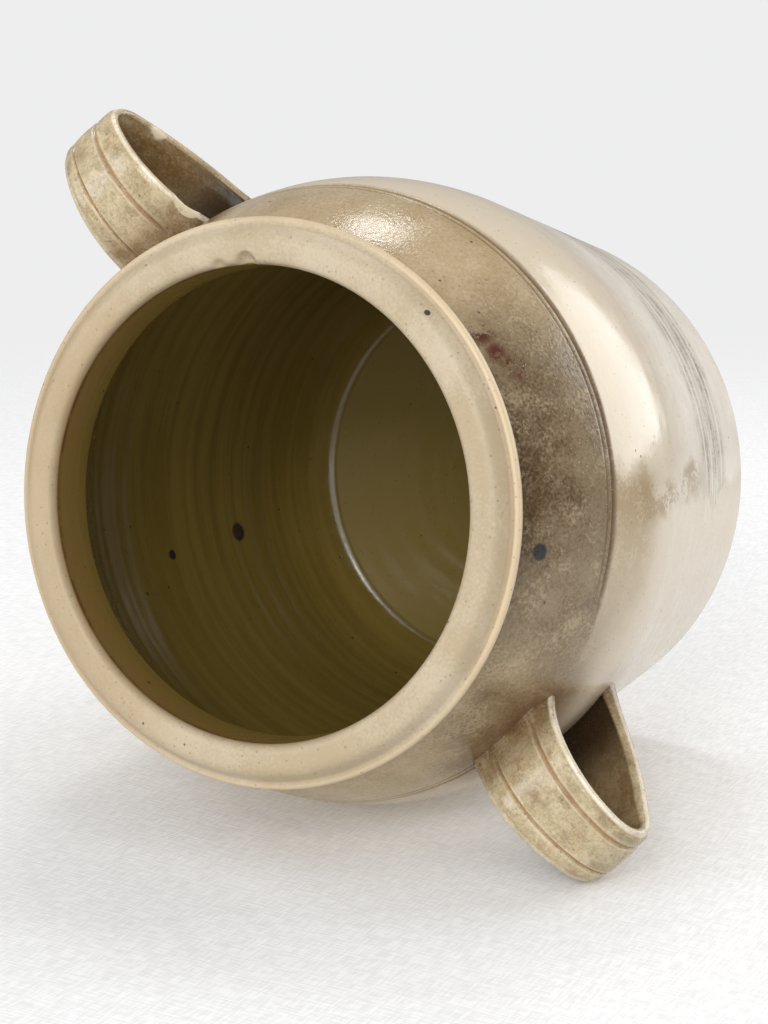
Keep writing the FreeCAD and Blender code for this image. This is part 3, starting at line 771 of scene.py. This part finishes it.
# rings of points round the strap with their masks: each ring goes over the outer face, round
# one edge, back over the inner face and round the other edge
def strapRings(path, length, outward, lowerLeg, lean, spec):
    h = handle
    thickness = h["thickness"]
    dice = np.random.default_rng(spec["seed"])
    waves = [(dice.uniform(0.03, 0.08), dice.uniform(0, 6.3)) for _ in range(4)]

    def drift(which):
        pace, phase = waves[which]
        return np.sin(pace * length + phase)

    ribDrift, wear, narrowing = drift(1), drift(2), drift(3)
    reach = h["outerEnd"][0] - h["topRoot"][0]
    fromEnd = np.clip(h["outerEnd"][0] - path[:, 0], 0, 60)
    half = h["strapHalf"] + (h["rootHalf"] - h["strapHalf"]) * fromEnd / reach
    nearNose = (h["nearEdge"] + (spec["lowerEdge"] - h["nearEdge"]) * lowerLeg) / 2
    face = path + thickness * outward
    fade = 0.12 + 0.88 * smoothStep(np.abs(face[:, 0]) - wallRadius(face[:, 1]), 1, 12)

    outerAcross = np.linspace(-1, 1, 110)
    innerAcross = np.linspace(1, -1, 30)
    noseTurn = np.radians(np.linspace(0, 180, 15))[1:-1]
    noseDegrees = np.degrees(noseTurn)
    noseOut = np.sin(noseTurn) ** h["edgeRound"]
    noseUp = np.sign(np.cos(noseTurn)) * np.abs(np.cos(noseTurn)) ** h["edgeRound"]
    outerStop = len(outerAcross)
    innerStart = outerStop + len(noseTurn)
    innerStop = innerStart + len(innerAcross)
    count = innerStop + len(noseTurn)

    points = np.zeros((len(path), count, 3))
    masks = {label: np.zeros((len(path), count))
             for label in ("groove", "ridge", "edge", "inner", "push", "border")}
    masks["inner"][:, innerStart:innerStop] = 1
    masks["push"][:, :outerStop] = 1
    masks["push"][:, outerStop:] = 0.4
    masks["push"][:, innerStart:innerStop] = 0.15
    for index, width in enumerate(half):
        noseRight, noseLeft = (nearNose[index], h["farEdge"] / 2)[::lean]
        upRight, upLeft = (thickness - h["grooveFloor"] - nose for nose in (noseRight, noseLeft))
        left, right = noseLeft - width, width - noseRight
        flat, middle = (right - left) / 2, (right + left) / 2
        shift = (spec["ribShift"] + 0.35 * ribDrift[index]) * (1 - outerAcross ** 2)
        parts = ribs(outerAcross * flat - shift, width, flat, 0.5 + 0.5 * wear[index],
                     spec["ribShare"])
        rise, cut, line = (part * fade[index] for part in parts)
        ringU = np.r_[middle + outerAcross * flat, right + noseRight * noseOut,
                      middle + innerAcross * flat, left - noseLeft * noseOut]
        hollow = np.where(innerAcross > 0, upRight - noseRight, upLeft - noseLeft)
        ringV = np.r_[thickness + rise, upRight + noseRight * noseUp,
                      hollow * np.abs(innerAcross) ** 5, upLeft - noseLeft * noseUp]
        masks["border"][index] = smoothStep(np.abs(ringU) / flat, 0.6, 1)
        ringU = ringU * (1 - 0.012 * (1 + narrowing[index]))
        points[index] = np.stack([path[index][0] + ringV * outward[index][0], ringU,
                                  path[index][1] + ringV * outward[index][1]], axis=1)

        # the edges are painted pale, partly where the glaze breaks over them and partly as a
        # painted highlight, least of all over the lower leg's near one
        rightPale, leftPale = (1 - 0.7 * lowerLeg[index], 0.3)[::lean]
        masks["groove"][index, :outerStop] = cut
        masks["ridge"][index, :outerStop] = line
        edge = masks["edge"][index]
        edge[:outerStop] = 0.6 * smoothStep(np.abs(outerAcross), 0.975, 1)
        edge[:outerStop] *= np.where(outerAcross > 0, rightPale, leftPale)
        edge[outerStop:innerStart] = rightPale * (1 - smoothStep(noseDegrees, 30, 100))
        edge[innerStop:] = leftPale * smoothStep(noseDegrees, 80, 150)
    return points, masks


# the clay is smeared out where it meets the wall, most of all on the near side
def smearRoots(points, push, border, path, heading, outward, lowerLeg, lean):
    h = handle
    flatSide = np.zeros(len(path))
    core = path + h["thickness"] / 2 * outward
    centre = np.stack([core[:, 0], flatSide, core[:, 1]], axis=1)
    tangent = np.roll(points, -1, axis=1) - np.roll(points, 1, axis=1)
    along = np.stack([heading[:, 0], flatSide, heading[:, 1]], axis=1)[:, None, :]
    away = np.cross(tangent, along)
    away /= np.linalg.norm(away, axis=2)[..., None]
    if np.sum(away * (points - centre[:, None, :])) < 0:
        away = -away
    softened = sum(weight * np.roll(away, step, axis=1)
                   for weight, step in zip(bellWeights(), range(-4, 5)))
    softened /= np.linalg.norm(softened, axis=2)[..., None]
    gap = np.hypot(points[..., 0], points[..., 1]) - wallRadius(points[..., 2])
    near = smoothStep(lean * points[..., 1], 2, 18)
    flare = h["flare"] + h["nearFlare"] * near
    reach = h["flareReach"] + h["nearReach"] * near
    spread = np.clip(1 - gap / reach, 0, 1) ** h["flareFall"] * flare * push
    spread *= 1 - border * near * (1 - lowerLeg[:, None])
    return points + softened * spread[..., None], gap


# chips at an edge, and the share of bare clay in them
def chipEdges(points, chips):
    bare = np.zeros(len(points))
    for centre, size, deep in chips:
        offset = (points - centre) / (size, 0.6 * size, size)
        fall = np.clip(1 - np.linalg.norm(offset, axis=1) ** 2, 0, 1)
        inward = np.array([0, np.sign(centre[1]), 0])
        points = points - deep * fall[:, None] ** 1.2 * inward
        bare = np.maximum(bare, smoothStep(fall, 0, 0.25))
    return points, bare


def makeHandle(name, cadNode, spec):
    path, length = strapPath()
    heading = np.gradient(path, axis=0)
    heading /= np.linalg.norm(heading, axis=1)[:, None]
    outward = np.c_[-heading[:, 1], heading[:, 0]]
    lean = 1 if abs(spec["turn"]) > 90 else -1  # the near side, before the strap is turned
    lowerLeg = smoothStep(length / length[-1], 0.42, 0.6)
    points, masks = strapRings(path, length, outward, lowerLeg, lean, spec)
    push, border = masks.pop("push"), masks.pop("border")
    points, gap = smearRoots(points, push, border, path, heading, outward, lowerLeg, lean)
    masks["root"] = np.clip(1.15 - gap / 15.0, 0, 1)
    # share of painted shadow on the inner faces, strongest at the wall
    masks["depth"] = np.clip(1 - gap / 30.0, 0, 1)
    count = points.shape[1]
    points, masks["chip"] = chipEdges(points.reshape(-1, 3), spec["chips"])
    masks = {label: values.ravel() for label, values in masks.items()}
    turned = Matrix.Rotation(math.radians(spec["turn"]), 3, "Z")
    points = points @ np.array(turned).T

    grid = np.arange(len(points)).reshape(-1, count)
    following = np.roll(grid, -1, axis=1)
    faces = []
    for row in range(len(grid) - 1):
        faces += np.c_[grid[row], grid[row + 1], following[row + 1], following[row]].tolist()
    faces.append(grid[0].tolist())
    faces.append(grid[-1][::-1].tolist())
    piece = meshPiece(name, points * mm, faces, masks, handleGlaze)
    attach(piece, "root")
    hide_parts(cadNode)
    print(name, "made", len(piece.data.vertices), "points")


makeHandle("right_strap", "right_handle", rightStrap)
makeHandle("left_strap", "left_handle", leftStrap)

# camera

camera = {
    "location": (-0.20134, -0.3318, 0.85907), "lens": 80.859, "sensor": 36,
    "right": (-0.567037, -0.684428, -0.458287), "up": (0.790406, -0.608695, -0.068914),
    "back": (-0.23179, -0.40131, 0.886128), "nearest": 0.01, "farthest": 50,
}
cameraData = bpy.data.cameras.new("camera")
cameraData.lens = camera["lens"]
cameraData.sensor_width = camera["sensor"]
cameraData.clip_start = camera["nearest"]
cameraData.clip_end = camera["farthest"]
cameraObject = addObject("camera", cameraData)
axes = [Vector(camera[name]) for name in ("right", "up", "back")]
turnedAxes = Matrix(axes).transposed().to_4x4()
cameraObject.matrix_world = Matrix.Translation(camera["location"]) @ turnedAxes
bpy.context.scene.camera = cameraObject


# a direction given as right, up and towards the camera, in the pot's own frame
def fromCamera(direction):
    return (axes[0] * direction[0] + axes[1] * direction[1] + axes[2] * direction[2]).normalized()


# floor: the pot lies on its side, on its wall and on one handle

stage = {
    "slant": 6.78, "azimuth": 136.0, "contact": 98.1, "gap": 0.0004, "middle": 0.1,
    "radius": 1.6, "rings": 60, "spokes": 96, "fadeFrom": 0.42, "fadeTo": 1.3,
    "colour": tint(243, 243, 243), "thread": tint(196, 195, 194), "world": tint(238, 238, 239),
    "threadWidth": 1150.0, "threadLength": 110.0, "threadHeight": 0.16, "foldHeight": 3.0,
    "fill": 0.8, "shine": 0.45, "softBounce": 0.65,
}

slant, around = math.radians(stage["slant"]), math.radians(stage["azimuth"])
floorUp = -Vector((math.cos(slant) * math.cos(around), math.cos(slant) * math.sin(around),
                   -math.sin(slant)))
potMiddle = Vector((0, 0, stage["middle"]))


# a round sheet whose rings lie closer towards its middle
def floorMesh(name, centre, side, ahead):
    s = stage
    rings, spokes = s["rings"], s["spokes"]
    points = [centre]
    for ring in range(1, rings + 1):
        for spoke in range(spokes):
            angle = 2 * math.pi * spoke / spokes
            reach = s["radius"] * (ring / rings) ** 1.5
            points.append(centre + (side * math.cos(angle) + ahead * math.sin(angle)) * reach)
    faces = [(0, 1 + spoke, 1 + (spoke + 1) % spokes) for spoke in range(spokes)]
    for ring in range(rings - 1):
        low, high = 1 + ring * spokes, 1 + (ring + 1) * spokes
        for spoke in range(spokes):
            following = (spoke + 1) % spokes
            faces.append((low + spoke, high + spoke, high + following, low + following))
    mesh = bpy.data.meshes.new(name)
    mesh.from_pydata([tuple(point) for point in points], [], faces)
    return mesh


# woven cloth that fades out, is clear from below, and lets a share of bounced light through
def makeCloth(centre, side, ahead):
    s = stage
    material, tree = newMaterial("paleCloth")
    place = node(tree, "ShaderNodeTexCoord").outputs["Object"]
    shifted = vectorMath(tree, "ADD", place, tuple(-centre)).outputs[0]
    across, along = (vectorMath(tree, "DOT_PRODUCT", shifted, tuple(axis)).outputs["Value"]
                     for axis in (side, ahead))
    flat = node(tree, "ShaderNodeCombineXYZ", {"X": across, "Y": along}).outputs[0]
    wide, long = s["threadWidth"], s["threadLength"]
    warp, weft = (noise(tree, vectorMath(tree, "MULTIPLY", flat, stretch).outputs[0], 1.0, 2.0)
                  for stretch in ((wide, long, 1.0), (long, wide, 1.0)))
    thread = calc(tree, "ADD", warp, weft)
    folds = noise(tree, flat, 9.0, 2.0)
    relief = calc(tree, "MULTIPLY_ADD", thread, s["threadHeight"],
                  times(tree, folds, s["foldHeight"]))
    bump = node(tree, "ShaderNodeBump", {"Height": relief, "Strength": 1.0, "Distance": mm})
    colour = blend(tree, between(tree, thread, 0.8, 1.2, 0.0, 0.32), s["colour"], s["thread"])
    cloth = node(tree, "ShaderNodeBsdfPrincipled", {
        "Base Color": colour, "Roughness": 0.95, "Specular IOR Level": 0.1,
        "Normal": bump.outputs["Normal"]})
    clear = node(tree, "ShaderNodeBsdfTransparent")
    gap = vectorMath(tree, "LENGTH", shifted).outputs["Value"]
    fade = between(tree, gap, s["fadeFrom"], s["fadeTo"])
    behind = node(tree, "ShaderNodeNewGeometry").outputs["Backfacing"]
    bounce = node(tree, "ShaderNodeLightPath").outputs["Is Diffuse Ray"]
    seeThrough = most(tree, fade, behind)
    seeThrough = most(tree, seeThrough, times(tree, bounce, s["softBounce"]))
    mixed = node(tree, "ShaderNodeMixShader", {
        0: seeThrough, 1: cloth.outputs[0], 2: clear.outputs[0]})
    node(tree, "ShaderNodeOutputMaterial", {"Surface": mixed.outputs[0]})
    return material


def makeFloor():
    down = -floorUp
    reach = stage["contact"] * mm * math.cos(slant)
    centre = potMiddle + down * (reach + stage["gap"] - down.dot(potMiddle))
    side = floorUp.cross(Vector((0, 0, 1))).normalized()
    ahead = floorUp.cross(side)
    mesh = floorMesh("cloth_floor", centre, side, ahead)
    mesh.materials.append(makeCloth(centre, side, ahead))
    mesh.update()
    if mesh.polygons[0].normal.dot(floorUp) < 0:
        mesh.flip_normals()
    floor = addObject("cloth_floor", mesh)


makeFloor()

# light

lamps = {
    "window": {"from": (0.82, 0.40, -0.36), "distance": 2.4, "size": (1.75, 1.6), "power": 27.0},
    "sky": {"from": (0.02, 0.97, -0.22), "distance": 2.0, "size": (0.42, 0.36), "power": 6.0},
    "left": {"from": (-0.92, 0.13, 0.38), "distance": 2.2, "size": (0.8, 0.7), "power": 10.0},
    "glint": {"from": (-0.22, 0.3, 0.93), "distance": 2.2, "size": (0.5, 0.5), "power": 8.0},
    "front": {"from": (-0.15, 0.12, 0.98), "distance": 2.6, "size": (2.4, 1.8), "power": 30.0},
}


def makeLamp(name, spec):
    data = bpy.data.lights.new(name, "AREA")
    data.shape = "RECTANGLE"
    data.size, data.size_y = spec["size"]
    data.energy = spec["power"]
    lamp = addObject(name, data)
    towards = fromCamera(spec["from"])
    level = floorUp.cross(towards).normalized()
    upright = towards.cross(level)
    turn = Matrix([level, upright, towards]).transposed()
    location = potMiddle + towards * spec["distance"]
    lamp.matrix_world = Matrix.Translation(location) @ turn.to_4x4()


# the room is seen pale, lights softly, and is dimmer in the glaze
def makeWorld():
    world = bpy.data.worlds.new("room")
    bpy.context.scene.world = world
    world.use_nodes = True
    tree = world.node_tree
    tree.nodes.clear()
    rays = node(tree, "ShaderNodeLightPath").outputs
    seen = most(tree, rays["Is Camera Ray"], rays["Is Transmission Ray"])
    strength = calc(tree, "MULTIPLY_ADD", rays["Is Glossy Ray"], stage["shine"] - stage["fill"],
                    stage["fill"])
    soft, pale = (node(tree, "ShaderNodeBackground", {"Color": stage["world"], "Strength": level})
                  for level in (strength, 1.0))
    either = node(tree, "ShaderNodeMixShader", {0: seen, 1: soft.outputs[0], 2: pale.outputs[0]})
    node(tree, "ShaderNodeOutputWorld", {"Surface": either.outputs[0]})


for lampName, lampSpec in lamps.items():
    makeLamp(lampName, lampSpec)
makeWorld()
print("stage and light made")

view = bpy.context.scene.view_settings
view.view_transform = "Standard"
